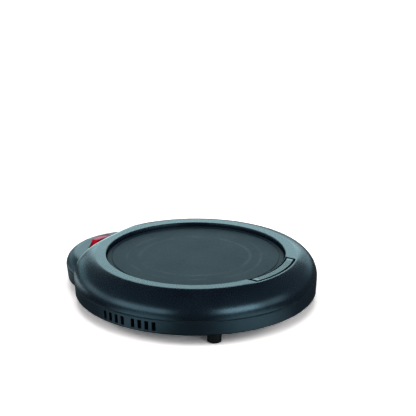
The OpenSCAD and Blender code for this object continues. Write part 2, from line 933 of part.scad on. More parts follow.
// Thin dish that keeps the heat off the floor
module heat_shield() {
    color("#c4c8ca") centred()
        difference() {
            union() {
                translate([0, 0, shield_z])
                    cylinder(h = shield_t, r = shield_r);
                translate([0, 0, shield_z])
                    difference() {
                        cylinder(h = shield_rim_h, r = shield_r);
                        translate([0, 0, -over])
                            cylinder(h = shield_rim_h + 2 * over, r = shield_r - shield_t);
                    }
            }
            for (x = [-shield_post_xy, shield_post_xy], y = [-shield_post_xy, shield_post_xy])
                translate([x, y, shield_z - over])
                    cylinder(h = shield_t + 2 * over, r = shield_stake_r + seat);
        }
}

// Places a child on the rocker's pivot at its tilt
module at_pivot() {
    translate([0, rocker_y, pivot_z])
        rotate([0, rocker_tilt, 0])
            children();
}

// Side outline of the rocker about its pivot, drawn in by inset
module rocker_outline(inset) {
    end_x = rocker_l / 2 - inset;
    top_x = rocker_l / 3 - inset / 2;
    intersection() {
        circle(rocker_end_r - inset);
        translate([0, rocker_crown_h - rocker_crown_r])
            circle(rocker_crown_r - inset, $fn = 180);
        polygon([
            [-end_x, -1.8 - inset], [end_x, -1.8 - inset], [end_x, 3.5], [top_x, rocker_crown_h - inset],
            [-top_x, rocker_crown_h - inset], [-end_x, 3.5]
        ]);
    }
}

// Bar with the rocker's outline, as deep as width
module rocker_bar(inset, width) {
    translate([0, width / 2, 0])
        rotate([90, 0, 0])
            linear_extrude(width)
                rocker_outline(inset);
}

module switch_rocker() {
    pin_l = rocker_gap + case_t - 0.3;
    color("#b3122a") centred()
        at_pivot()
            difference() {
                union() {
                    difference() {
                        rocker_bar(0, rocker_w);
                        rocker_bar(rocker_wall, rocker_w - 2 * rocker_wall);
                    }
                    translate([0, 0, -1.6])
                        cylinder(h = rocker_crown_h + 1, r = plunger_r + 1);
                    rod_y(-rocker_w / 2 - pin_l, rocker_w + 2 * pin_l, pin_r);
                }
                translate([0, 0, -over - 2])
                    cylinder(h = 7.6 + over, r = plunger_r + seat);
            }
}

module switch_plunger() {
    color("#d8d4c8") centred()
        at_pivot() {
            translate([0, 0, plunger_r - plunger_reach])
                cylinder(h = plunger_reach - plunger_r + 1.2, r = plunger_r);
            translate([0, 0, plunger_r - plunger_reach])
                sphere(plunger_r);
        }
}

// Coil spring between the plunger and the roof of its bore
module plunger_spring() {
    turns = 5;
    steps = 12;
    low = 1.4;
    high = 4.2;
    coil_r = plunger_r - 0.25;
    path = [
        for (i = [0:turns * steps])
            [
                coil_r * cos(i * 360 / steps), coil_r * sin(i * 360 / steps),
                low + (high - low) * i / (turns * steps)
            ]
    ];
    color("#b9bdbf") centred()
        at_pivot()
            swept_tube(path, 0.14, 6);
}

module switch_case() {
    out_x = case_in_x + case_t;
    out_y = case_in_y + case_t;
    color("#20201f") centred()
        translate([0, rocker_y, 0])
            difference() {
                union() {
                    translate([-out_x, -out_y, case_z])
                        cube([2 * out_x, 2 * out_y, case_top_z - case_z]);
                    for (x = [-ear_x, ear_x])
                        translate([x, 0, ear_z])
                            cylinder(h = ear_top_z - ear_z, r = ear_r);
                    translate([-ear_x, -ear_r, ear_z])
                        cube([2 * ear_x, 2 * ear_r, ear_top_z - ear_z]);
                }
                difference() {
                    translate([-case_in_x, -case_in_y, case_floor_z])
                        cube([2 * case_in_x, 2 * case_in_y, far / 10]);
                    lamp_brackets();
                }
                for (x = [-ear_x, ear_x])
                    translate([x, 0, ear_z - over])
                        cylinder(h = 6, r = 1.3);
                translate([0, 0, pivot_z])
                    rod_y(-out_y - over, 2 * out_y + 2 * over, pin_r + pin_clearance);
                for (x = [-blade_pitch, 0, blade_pitch])
                    translate([x - blade_w / 2 - seat, -out_y - over, case_floor_z - 0.001])
                        cube([blade_w + 2 * seat, case_t + 2 * over, blade_t + seat]);
            }
}

// Ledges on the case's side walls that carry the lamp and its resistor
module lamp_brackets() {
    for (x = [-lamp_x, lamp_x], y = [-case_in_y - 1, case_in_y - 2.5])
        translate([x - 1, y, bracket_top_z - bracket_h])
            cube([2, 3.5, bracket_h]);
}

// Rocking contact strip with a groove that sits over the knife edge
module contact_lever() {
    half = lever_half_l;
    color("#c77a4a") centred()
        translate([0, rocker_y, knife_z])
            rotate([0, -lever_tilt, 0])
                translate([0, lever_w / 2, lever_z - knife_z])
                    rotate([90, 0, 0])
                        linear_extrude(lever_w)
                            polygon([
                                [-half, 0], [-0.8, 0], [0, 0.4], [0.8, 0], [half, 0], [half, lever_t],
                                [0.5, lever_t], [0, lever_t + 0.1], [-0.5, lever_t], [-half, lever_t]
                            ]);
}

// Three blades: the middle one carries the knife edge, the outer ones a rivet
module switch_terminals() {
    color("#c9b27c") centred()
        for (n = [-1, 0, 1])
            translate([n * blade_pitch, 0, case_floor_z]) {
                translate([-blade_w / 2, blade_y, 0])
                    cube([blade_w, rocker_y + 2.6 - blade_y, blade_t]);
                if (n == 0)
                    knife_edge();
                if (n < 0)
                    translate([-n * (blade_pitch - lever_half_l + 0.9), rocker_y, blade_t - 0.3])
                        cylinder(h = 0.3 + rivet_h, r = 1, $fn = 32);
            }
}

module knife_edge() {
    tip = knife_z - case_floor_z;
    translate([0, rocker_y + 1.2, 0])
        rotate([90, 0, 0])
            linear_extrude(2.4)
                polygon([[-0.9, blade_t - 0.2], [0.9, blade_t - 0.2], [0, tip]]);
}

module switch_lamp() {
    color("#f0a070") centred()
        translate([lamp_x, rocker_y, bracket_top_z + lamp_r + seat]) {
            rod_y(-2.6, 5.2 - lamp_r, lamp_r);
            translate([0, 2.6 - lamp_r, 0])
                sphere(lamp_r);
        }
}

module lamp_resistor() {
    color("#c8b088") centred()
        translate([-lamp_x, rocker_y, bracket_top_z + resistor_r + seat])
            rod_y(-2.7, 5.4, resistor_r);
}

module switch_screws() {
    color("#c9cccd") centred()
        for (x = [-ear_x, ear_x])
            translate([x, rocker_y, ear_z])
                screw_up(2.1, 1.5, 0.95, case_top_z - ear_z - 0.4);
}

// Rubber bush with a lip on each side of the wall
module cord_bush() {
    color("#15191c") centred()
        translate([0, 0, cord_z])
            difference() {
                union() {
                    rod_y(bush_face_y - bush_seat_t - over / 2, bush_seat_t + over, bush_neck_r);
                    rod_y(bush_face_y, bush_lip_t, bush_lip_r);
                    rod_y(bush_face_y - bush_seat_t - bush_lip_t, bush_lip_t, bush_lip_r);
                }
                rod_y(bush_face_y - 10, 20, cord_r);
            }
}

// Bar with an arch that would hold the cord down
module cord_clamp() {
    half = clamp_post_x + clamp_post_r;
    color("#2a2f33") centred()
        translate([0, clamp_y + clamp_w / 2, cord_z])
            difference() {
                rotate([90, 0, 0])
                    linear_extrude(clamp_w)
                        difference() {
                            union() {
                                translate([-half, 0])
                                    square([2 * half, clamp_bar_t]);
                                circle(clamp_arch_r);
                            }
                            circle(cord_r + seat);
                            translate([-far / 2, -far])
                                square(far);
                        }
                for (x = [-clamp_post_x, clamp_post_x])
                    translate([x, -clamp_w / 2, -over])
                        cylinder(h = 4, r = 1.2);
            }
}

module cord_clamp_screws() {
    color("#c9cccd") centred()
        for (x = [-clamp_post_x, clamp_post_x])
            translate([x, clamp_y, cord_z + clamp_bar_t])
                mirror([0, 0, 1])
                    screw_up(2.1, 1.5, 0.95, clamp_bar_t + cord_z - floor_z - 0.3);
}

// Closed-end crimp caps that join the leads to the cord's conductors
module splice_caps() {
    color("#c9c3a8") centred()
        for (x = [-splice_x, splice_x])
            translate([x, 0, splice_z]) {
                rod_y(splice_y, splice_l - splice_r, splice_r);
                translate([0, splice_y + splice_l - splice_r, 0])
                    sphere(splice_r);
            }
}

// Insulated receptacle at a blade's end, pushed on towards +Y
module push_on_sleeve() {
    difference() {
        translate([-sleeve_w / 2, -sleeve_tail, -sleeve_t / 2])
            cube([sleeve_w, sleeve_tail + sleeve_on, sleeve_t]);
        translate([-blade_w / 2 - seat, -seat, -blade_t / 2 - seat])
            cube([blade_w + 2 * seat, sleeve_on + over, blade_t + 2 * seat]);
        rod_y(-sleeve_tail - over, sleeve_tail + over + seat, lead_r + seat);
    }
}

module push_on_sleeves() {
    color("#a8322c") centred() {
        for (x = [-blade_pitch, 0, blade_pitch])
            translate([x, blade_y, blade_mid_z])
                push_on_sleeve();
        for (x = [-stat_blade_x, stat_blade_x])
            translate([stat_x + x, stat_y + stat_blade_y, stat_blade_z])
                rotate(180)
                    push_on_sleeve();
    }
}

// Crimped tube that joins a wire on its far side to a lead, open towards -Y
module crimp_barrel() {
    difference() {
        rod_y(-barrel_l / 2, barrel_l, barrel_r);
        rod_y(-barrel_l / 2 - over, barrel_l / 2 + over, lead_r + seat);
        rod_y(-over, barrel_l + over, 0.6);
    }
}

module crimp_barrels() {
    color("#c4c8ca") centred() {
        for (x = [0, tab_x])
            translate([x, tab_y - track_t - barrel_l / 2, tab_mid_z])
                crimp_barrel();
        translate([fuse_x, fuse_y - fuse_wire_y + 0.1, fuse_z])
            crimp_barrel();
        translate([fuse_x, fuse_y + fuse_wire_y - 0.1, fuse_z])
            rotate(180)
                crimp_barrel();
    }
}

// One round of corner cutting on an open route
function cut_corners(p) = [
    p[0],
    for (i = [0:len(p) - 2]) each [0.75 * p[i] + 0.25 * p[i + 1], 0.25 * p[i] + 0.75 * p[i + 1]],
    p[len(p) - 1]
];
function unit(v) = v / norm(v);
function route_step(p, i) = p[min(i + 1, len(p) - 1)] - p[max(i - 1, 0)];
function sideways(t) = unit(cross(t, [0, 0, 1]));
function tube_ring(p, t, r, sides) = [
    for (k = [0:sides - 1])
        p + r * (cos(k * 360 / sides) * sideways(t) + sin(k * 360 / sides) * cross(sideways(t), unit(t)))
];

// Closed tube along a path that never runs straight up
module swept_tube(path, r, sides) {
    last = len(path) - 1;
    points = [for (i = [0:last]) each tube_ring(path[i], route_step(path, i), r, sides)];
    walls = [
        for (i = [0:last - 1], k = [0:sides - 1])
            let (a = i * sides + k, b = i * sides + (k + 1) % sides)
                [a, b, b + sides, a + sides]
    ];
    start_cap = [for (k = [0:sides - 1]) sides - 1 - k];
    end_cap = [for (k = [0:sides - 1]) last * sides + k];
    polyhedron(points, concat(walls, [start_cap, end_cap]));
}

// Insulated lead along a route of hand-chosen points
module lead(route) {
    swept_tube(cut_corners(cut_corners(route)), lead_r, 8);
}

module feed_lead() {
    color("#20242a") centred()
        lead(FEED_ROUTE);
}

module lamp_lead() {
    color("#d9d9d4") centred()
        lead(LAMP_ROUTE);
}

module thermostat_lead() {
    color("#20242a") centred()
        lead(THERMOSTAT_ROUTE);
}

module element_lead() {
    color("#20242a") centred()
        lead(ELEMENT_ROUTE);
}

module fuse_lead() {
    color("#d9d9d4") centred()
        lead(FUSE_ROUTE);
}

module neutral_lead() {
    color("#d9d9d4") centred()
        lead(NEUTRAL_ROUTE);
}

module case_screws() {
    color("#c9cccd") centred()
        at_case_screws()
            translate([0, 0, screw_head_z + screw_head_t])
                screw_up(screw_head_r, screw_head_t, screw_r, screw_tip_z - screw_head_z - screw_head_t);
}

// Rubber foot: a stud under the floor, a stem through it and a barb above
module foot(x, y) {
    color("#14181b") centred()
        translate([x, y, 0])
            rotate_extrude()
                polygon([
                    [0, 0], [foot_r - 0.5, 0], [foot_r, 0.5], [foot_r, underside_z],
                    [foot_stem_r, underside_z], [foot_stem_r, floor_z], [foot_barb_r, floor_z],
                    [foot_barb_r - 1.1, floor_z + foot_barb_h], [0, floor_z + foot_barb_h]
                ]);
}

module front_left_foot() {
    foot(-front_foot_x, -front_foot_y);
}

module front_right_foot() {
    foot(front_foot_x, -front_foot_y);
}

module rear_left_foot() {
    foot(-rear_foot_x, rear_foot_y);
}

module rear_right_foot() {
    foot(rear_foot_x, rear_foot_y);
}

top_housing();
base_housing();
front_inlay();
hot_plate();
plate_seal();
upper_mica_sheet();
heating_track();
lower_mica_sheet();
insulation_pad();
clamp_plate();
clamp_washers();
clamp_nuts();
thermostat_case();
thermostat_cap();
thermostat_terminals();
thermostat_screws();
thermal_fuse();
fuse_clip();
fuse_screw();
heat_shield();
switch_rocker();
switch_plunger();
plunger_spring();
switch_case();
contact_lever();
switch_terminals();
switch_lamp();
lamp_resistor();
switch_screws();
cord_bush();
cord_clamp();
cord_clamp_screws();
splice_caps();
push_on_sleeves();
crimp_barrels();
feed_lead();
lamp_lead();
thermostat_lead();
element_lead();
fuse_lead();
neutral_lead();
case_screws();
front_left_foot();
front_right_foot();
rear_left_foot();
rear_right_foot();
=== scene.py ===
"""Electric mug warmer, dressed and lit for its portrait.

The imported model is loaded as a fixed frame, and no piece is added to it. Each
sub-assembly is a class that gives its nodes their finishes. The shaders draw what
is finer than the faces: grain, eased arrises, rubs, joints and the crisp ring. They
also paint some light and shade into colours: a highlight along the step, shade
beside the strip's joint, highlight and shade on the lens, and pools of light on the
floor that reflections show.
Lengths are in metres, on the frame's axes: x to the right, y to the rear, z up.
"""
import logging
import math
from abc import ABC, abstractmethod
from dataclasses import dataclass
from enum import Enum
from functools import cache

import bpy
import numpy as np
from mathutils import Euler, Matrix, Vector

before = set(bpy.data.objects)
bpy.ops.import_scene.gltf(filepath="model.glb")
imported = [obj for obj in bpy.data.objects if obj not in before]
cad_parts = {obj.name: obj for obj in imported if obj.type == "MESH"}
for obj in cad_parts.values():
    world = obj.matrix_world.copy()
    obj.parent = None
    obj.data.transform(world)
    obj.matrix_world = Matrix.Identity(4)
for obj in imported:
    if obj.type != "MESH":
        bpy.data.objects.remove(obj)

LOG = logging.getLogger("mug_warmer")
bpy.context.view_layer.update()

Colour = tuple[float, float, float]
Point = tuple[float, float, float]
Span = tuple[float, float]

UP = Vector((0.0, 0.0, 1.0))
AXIS_Y = -0.0061  # y of the plate's upright axis
JOINT_AND_SHADE_DARK = (0.002, 0.004, 0.005, 1.0)  # colour of the open joint and of the painted shade on the faces beside it


def linear(code: str) -> Colour:
    """Turn a display colour into the linear light that shaders work in.

    Args:
        code: six hexadecimal digits, red first.

    Returns:
        Linear red, green and blue.
    """
    parts = np.array([int(code[i:i + 2], 16) for i in (0, 2, 4)]) / 255.0
    light = np.where(parts <= 0.04045, parts / 12.92, ((parts + 0.055) / 1.055) ** 2.4)
    return tuple(float(v) for v in light)


def scaled(colour: Colour, factor: float, lift: float = 0.0) -> Colour:
    """Multiply a colour by a factor, then add a little grey."""
    return tuple(factor * part + lift for part in colour)


class Signal:
    """A socket of a shader graph that Python arithmetic can be done on."""

    def __init__(self, graph: "Graph", socket: bpy.types.NodeSocket | None) -> None:
        """Keep the socket and the graph that it belongs to."""
        self.graph = graph
        self.socket = socket

    def _math(self, operation: str, *operands: "Signal | float") -> "Signal":
        """Add one Math node.

        Args:
            operation: name of the node's operation.
            operands: its inputs in order.

        Returns:
            The node's result.
        """
        return self.graph.add("ShaderNodeMath", {"operation": operation}, dict(enumerate(operands)))

    def __add__(self, other: "Signal | float") -> "Signal":
        """Sum of two values."""
        return self._math("ADD", self, other)

    def __radd__(self, other: float) -> "Signal":
        """Sum with a plain number on the left."""
        return self._math("ADD", other, self)

    def __sub__(self, other: "Signal | float") -> "Signal":
        """Difference of two values."""
        return self._math("SUBTRACT", self, other)

    def __rsub__(self, other: float) -> "Signal":
        """A plain number less this value."""
        return self._math("SUBTRACT", other, self)

    def __mul__(self, other: "Signal | float") -> "Signal":
        """Product of two values."""
        return self._math("MULTIPLY", self, other)

    def __rmul__(self, other: float) -> "Signal":
        """Product with a plain number on the left."""
        return self._math("MULTIPLY", other, self)

    def above(self, other: "Signal | float") -> "Signal":
        """The larger of two values."""
        return self._math("MAXIMUM", self, other)

    def size(self) -> "Signal":
        """This value without its sign."""
        return self._math("ABSOLUTE", self)

    def diagonal(self, other: "Signal") -> "Signal":
        """Square root of the sum of the squares of this length and one at right angles to it."""
        return self._math("SQRT", self * self + other * other)

    def swing(self, amount: float) -> "Signal":
        """A value about one half, made a swing of that amount about zero."""
        return (self - 0.5) * amount

    def between(self, low: float, high: float) -> "Signal":
        """Smooth step of this value.

        Args:
            low: value where the step is 0.
            high: value where the step is 1.

        Returns:
            0 below low, 1 above high, and an S curve between.
        """
        return self.graph.add(
            "ShaderNodeMapRange", {"interpolation_type": "SMOOTHSTEP"},
            {"Value": self, "From Min": low, "From Max": high},
        )


class Graph:
    """A node tree with one way to add a node."""

    def __init__(self, tree: bpy.types.NodeTree) -> None:
        """Start on an empty tree."""
        self.tree = tree
        self.tree.nodes.clear()

    def add(
        self, kind: str, settings: dict | None = None, inputs: dict | None = None,
        output: int | str = 0,
    ) -> Signal:
        """Add a node, set it up and wire it.

        Args:
            kind: the node's type.
            settings: its properties, such as a Math node's operation.
            inputs: values or signals by socket name or number.
            output: which of its outputs to hand back.

        Returns:
            That output, or an empty signal for a node without one.
        """
        node = self.tree.nodes.new(kind)
        for name, value in (settings or {}).items():
            setattr(node, name, value)
        for name, value in (inputs or {}).items():
            if isinstance(value, Signal):
                self.tree.links.new(value.socket, node.inputs[name])
            else:
                node.inputs[name].default_value = value
        return Signal(self, node.outputs[output] if node.outputs else None)

    def place(self) -> Signal:
        """Object coordinates, in metres from the frame's origin."""
        return self.add("ShaderNodeTexCoord", output="Object")

    def axes(self) -> tuple[Signal, Signal, Signal]:
        """Object coordinates as three separate values."""
        node = self.add("ShaderNodeSeparateXYZ", {}, {"Vector": self.place()}).socket.node
        return tuple(Signal(self, socket) for socket in node.outputs)

    def radius(self) -> Signal:
        """Distance from the plate's upright axis."""
        x, y, _ = self.axes()
        return x.diagonal(y - AXIS_Y)

    def flat_normal(self) -> Signal:
        """Normal of the surface before any bump."""
        return self.add("ShaderNodeNewGeometry", output="Normal")

    def ray(self, kind: str) -> Signal:
        """1 for one kind of ray, such as "Is Camera Ray", and 0 for the others."""
        return self.add("ShaderNodeLightPath", output=kind)

    def noise(
        self, size: float, detail: float = 3.0, roughness: float = 0.5,
        stretch: Point | None = None,
    ) -> Signal:
        """Cloudy noise around one half.

        Args:
            size: width of one cloud in metres.
            detail: octaves of finer clouds.
            roughness: weight of the finer clouds.
            stretch: factors on the three axes; a small one draws the clouds out along its axis.

        Returns:
            The noise value.
        """
        place = self.place()
        if stretch is not None:
            place = self.add(
                "ShaderNodeVectorMath", {"operation": "MULTIPLY"}, {0: place, 1: stretch}
            )
        return self.add(
            "ShaderNodeTexNoise", {},
            {"Vector": place, "Scale": 1.0 / size, "Detail": detail, "Roughness": roughness},
        )

    def colour(self, level: Signal, tone: Colour) -> Signal:
        """A colour whose parts are one level times the parts of a tone."""
        parts = {name: level * part for name, part in zip(("Red", "Green", "Blue"), tone)}
        return self.add("ShaderNodeCombineColor", {}, parts)

    def mix(self, factor: Signal | float, first: object, second: object) -> Signal:
        """Blend two colours.

        Args:
            factor: 0 for the first colour, 1 for the second.
            first: a colour or a signal.
            second: a colour or a signal.

        Returns:
            The blended colour.
        """
        def four(value: object) -> object:
            """A plain colour with its alpha, or the signal as it is."""
            return value if isinstance(value, Signal) else (*value, 1.0)

        return self.add(
            "ShaderNodeMix", {"data_type": "RGBA"},
            {0: factor, 6: four(first), 7: four(second)}, output=2,
        )

    def shades(self, factor: Signal, colour: Colour, low: float, high: float) -> Signal:
        """Blend one colour from a low multiple of itself to a high one."""
        return self.mix(factor, scaled(colour, low), scaled(colour, high))

    def along(self, vector: Signal, direction: Point | Vector) -> Signal:
        """Length of a vector along a direction."""
        return self.add(
            "ShaderNodeVectorMath", {"operation": "DOT_PRODUCT"},
            {0: vector, 1: direction}, output="Value",
        )

    def eased_normal(self, radius: float) -> Signal:
        """Normal of a surface whose arrises are eased to a radius in metres."""
        return self.add("ShaderNodeBevel", {"samples": 6}, {"Radius": radius})

    def arris(self, eased: Signal) -> Signal:
        """How far an eased normal has turned from the flat one: 0 on faces, 1 on arrises."""
        return (1.0 - self.along(eased, self.flat_normal())).between(0.02, 0.3)

    def relief(self, height: Signal, depth: float, normal: Signal | None = None) -> Signal:
        """Bump from a height.

        Args:
            height: pattern, 0 for low and 1 for high.
            depth: metres between low and high.
            normal: surface normal to start from.

        Returns:
            The bumped normal.
        """
        inputs = {"Height": height, "Strength": 1.0, "Distance": depth}
        if normal is not None:
            inputs["Normal"] = normal
        return self.add("ShaderNodeBump", {}, inputs)


@dataclass(frozen=True)
class Finish(ABC):
    """A surface finish that can be put on any piece."""

    name: str
    colour: Colour

    @abstractmethod
    def surface(self, graph: Graph) -> dict[str, object]:
        """Inputs of the Principled shader that this finish sets."""

    def joint(self, graph: Graph) -> Signal | None:
        """Where a joint and the painted shade beside it go dark: 1 there, 0 beyond."""
        return None

    @cache
    def material(self) -> bpy.types.Material:
        """Make the finish's material, once.

        Returns:
            The material.
        """
        made = bpy.data.materials.new(self.name)
        made.use_nodes = True
        graph = Graph(made.node_tree)
        shader = graph.add("ShaderNodeBsdfPrincipled", {}, self.surface(graph))
        joint = self.joint(graph)
        if joint is not None:
            # painted shade: a black diffuse mixed in over the joint and the faces beside it
            dark = graph.add("ShaderNodeBsdfDiffuse", {}, {"Color": JOINT_AND_SHADE_DARK})
            shader = graph.add("ShaderNodeMixShader", {}, {0: joint, 1: shader, 2: dark})
        graph.add("ShaderNodeOutputMaterial", {}, {"Surface": shader})
        return made


@dataclass(frozen=True)
class MouldedPlastic(Finish):
    """Injection-moulded plastic with a fine spark-eroded grain."""

    roughness: float = 0.34
    mottle: float = 0.18
    cloud: float = 0.018
    grain: float = 0.00035
    grain_depth: float = 0.000004
    eased: float = 0.0004
    reflectance: float = 0.5
    tint: Colour = (1.0, 1.0, 1.0)
    wear: Colour = (0.05, 0.07, 0.08)
    wear_patch: float = 0.004
    wear_level: float = 0.6

    def surface(self, graph: Graph) -> dict[str, object]:
        """Slight mottle in the colour, grain in the normal and a rub on the arrises.

        Args:
            graph: the tree to add to.

        Returns:
            Inputs of the Principled shader.
        """
        cloud = graph.noise(self.cloud, 4.0)
        grain = graph.noise(self.grain, 2.0, 0.6)
        normal = graph.eased_normal(self.eased)
        patches = graph.noise(self.wear_patch, 3.0).between(0.35, 0.65)
        rub = graph.arris(normal) * patches * self.wear_level
        low, high = 1.0 - self.mottle, 1.0 + self.mottle
        body = graph.shades(cloud.between(0.3, 0.7), self.colour, low, high)
        return {
            "Base Color": graph.mix(rub, body, self.wear),
            "Roughness": self.roughness + cloud.swing(0.08) + grain.swing(0.1),
            "Normal": graph.relief(grain, self.grain_depth, self.form(graph, normal)),
            "Specular IOR Level": self.reflectance,
            "Specular Tint": (*self.tint, 1.0),
        }

    def form(self, graph: Graph, normal: Signal) -> Signal:
        """Normal of the moulding without its grain."""
        return normal


def dulled(roughness: Signal, mask: Signal) -> Signal:
    """Roughness that the mask brings up to fully matt."""
    return roughness * (1.0 - mask) + mask


def in_front(y: Signal) -> Signal:
    """1 in the front half of the body, 0 in the rear half."""
    return (0.0 - y).between(0.0, 0.01)


@dataclass(frozen=True)
class StripOutline:
    """Outline of the inlay strip: an arc of a ring about the plate's axis, cut off square."""

    inner: float = 0.0487
    outer: float = 0.0531
    half_length: float = 0.0189
    end_weight: float = 0.6  # less than 1 makes the joint wider at the ends
    top: Span = (0.0255, 0.0259)
    reach: Span = (0.00039, 0.00065)

    def shade(self, graph: Graph) -> Signal:
        """Painted shade along the outline, over the joint and the faces beside it.

        The distance is the largest of three: past the ends, where it counts for less,
        inside the inner radius and outside the outer radius. It is negative on the strip.

        Args:
            graph: the tree to add to.

        Returns:
            1 at the outline, 0 beyond the reach and on lower faces.
        """
        x, y, z = graph.axes()
        radius = graph.radius()
        ends = (x.size() - self.half_length) * self.end_weight
        distance = ends.above(self.inner - radius).above(radius - self.outer)
        near = 1.0 - distance.size().between(*self.reach)
        return near * z.between(*self.top) * in_front(y)


@dataclass(frozen=True)
class ShellPlastic(MouldedPlastic):
    """Plastic of the upper shell: a crisp ring, a dark joint with painted shade round the strip, a
    painted highlight along the step.
    """

    outline: StripOutline = StripOutline()
    ring: float = 0.0536  # radius at which the ring is made to end
    ring_break: float = 0.05285  # radius at which the faces start to curve
    shoulder: float = 0.012  # radius of that curve
    lip: float = 0.001  # how much wider the ring is beside the strip
    lip_ends: Span = (0.018, 0.03)
    fold: float = 0.2  # slope just outside the ring
    fold_reach: float = 0.005
    fold_fade: Span = (0.042, 0.0472)
    seam: Span = (0.0138, 0.0141)
    step_line: Span = (0.0462, 0.0467)  # y at which the painted highlight on the step's arris begins
    step_top: Span = (0.0206, 0.0211)
    # pale colour painted on the step's arris as a highlight, broken up by noise
    painted_step_highlight: Colour = (0.44, 0.55, 0.53)
    highlight_patch: float = 0.005
    deck_line: Span = (0.0472, 0.0477)
    deck_top: Span = (0.0204, 0.0206)
    deck_dulling: float = 0.08

    def surface(self, graph: Graph) -> dict[str, object]:
        """The moulded surface, dulled at the parting line, with a painted highlight along the
        step's arris.

        Args:
            graph: the tree to add to.

        Returns:
            Inputs of the Principled shader.
        """
        inputs = super().surface(graph)
        _, y, z = graph.axes()
        upward = graph.along(graph.flat_normal(), UP).between(0.2, 0.5)
        arris = y.between(*self.step_line) * z.between(*self.step_top) * upward
        highlight_breakup = 0.65 + graph.noise(self.highlight_patch, 3.0, 0.6).between(0.3, 0.55) * 0.35
        deck = y.between(*self.deck_line) * (1.0 - z.between(*self.deck_top))
        seam = 1.0 - z.between(*self.seam)
        # painted highlight: the step's arris is made pale in the base colour
        inputs["Base Color"] = graph.mix(arris * highlight_breakup, inputs["Base Color"], self.painted_step_highlight)
        inputs["Roughness"] = dulled(inputs["Roughness"], seam) + deck * self.deck_dulling
        return inputs

    def joint(self, graph: Graph) -> Signal:
        """The joint round the strip, with painted shade on the faces beside it."""
        return self.outline.shade(graph)

    def form(self, graph: Graph, normal: Signal) -> Signal:
        """Fold the surface where the flat ring meets the shoulder.

        Outside the ring the height falls as a parabola that starts at the slope
        of the fold and levels out at its reach. It fades before the rear step.
        Beside the strip the ring is wider by the lip, and the height also rises
        with the square of the distance past the break, over twice the shoulder's
        radius, which takes the curve out of the lip.

        Args:
            graph: the tree to add to.
            normal: normal of the eased surface.

        Returns:
            The folded normal.
        """
        x, y, _ = graph.axes()
        radius = graph.radius()
        beside = (1.0 - x.size().between(*self.lip_ends)) * in_front(y)
        edge = self.ring + beside * self.lip
        past = (radius - edge).above(0.0)
        short = self.fold_reach - (self.fold_reach - past).above(0.0)
        fall = short * short * (0.5 / self.fold_reach) - short
        height = fall * (1.0 - y.between(*self.fold_fade))
        span = edge - self.ring_break
        curved = span - (span - (radius - self.ring_break).above(0.0)).above(0.0)
        lift = curved * curved * (0.5 / self.shoulder / self.fold) * beside
        return graph.relief(height + lift, self.fold, normal)


@dataclass(frozen=True)
class TrayPlastic(MouldedPlastic):
    """Plastic of the lower shell, dulled along the parting line."""

    seam: Span = (0.0132, 0.0135)

    def surface(self, graph: Graph) -> dict[str, object]:
        """The moulded surface with a dull upper edge.

        Args:
            graph: the tree to add to.

        Returns:
            Inputs of the Principled shader.
        """
        inputs = super().surface(graph)
        _, _, z = graph.axes()
        inputs["Roughness"] = dulled(inputs["Roughness"], z.between(*self.seam))
        return inputs


@dataclass(frozen=True)
class StripPlastic(MouldedPlastic):
    """Plastic of the inlay strip, with painted shade along its edge beside the joint."""

    outline: StripOutline = StripOutline()

    def joint(self, graph: Graph) -> Signal:
        """The joint round the strip, with painted shade on the faces beside it."""
        return self.outline.shade(graph)


@dataclass(frozen=True)
class StovedEnamel(Finish):
    """Heat-cured coating on pressed steel: orange peel, specks and rings that mugs have rubbed."""

    roughness: float = 0.42
    speck: float = 0.0004
    peel: float = 0.0011
    peel_depth: float = 0.000012
    cloud: float = 0.02
    eased: float = 0.00025
    ring_radii: tuple[float, float] = (0.0295, 0.0358)
    ring_widths: tuple[float, float] = (0.0016, 0.0012)
    ring_core: float = 0.0002
    waver: float = 0.03
    waver_reach: float = 0.004
    rub_patch: float = 0.014
    rub_level: float = 0.3
    reflectance: float = 0.25
    tint: Colour = (0.4, 0.85, 1.0)

    def surface(self, graph: Graph) -> dict[str, object]:
        """Specks and rubbed rings in the colour, and peel in the normal.

        Args:
            graph: the tree to add to.

        Returns:
            Inputs of the Principled shader.
        """
        speck = graph.noise(self.speck, 2.0, 0.7).between(0.52, 0.7)
        peel = graph.noise(self.peel, 2.0)
        cloud = graph.noise(self.cloud, 3.0)
        body = graph.shades(cloud, self.colour, 0.85, 1.15)
        radius = graph.radius() + graph.noise(self.waver, 1.0).swing(self.waver_reach)
        inner, outer = (
            1.0 - (radius - ring).size().between(self.ring_core, width)
            for ring, width in zip(self.ring_radii, self.ring_widths)
        )
        patches = graph.noise(self.rub_patch, 3.0).between(0.35, 0.7)
        rub = inner.above(outer) * patches * self.rub_level
        return {
            "Base Color": graph.mix((speck * 0.5).above(rub), body, scaled(self.colour, 2.2)),
            "Roughness": self.roughness + peel.swing(0.12) + cloud.swing(0.1) - rub * 0.25,
            "Normal": graph.relief(peel, self.peel_depth, graph.eased_normal(self.eased)),
            "Specular IOR Level": self.reflectance,
            "Specular Tint": (*self.tint, 1.0),
        }


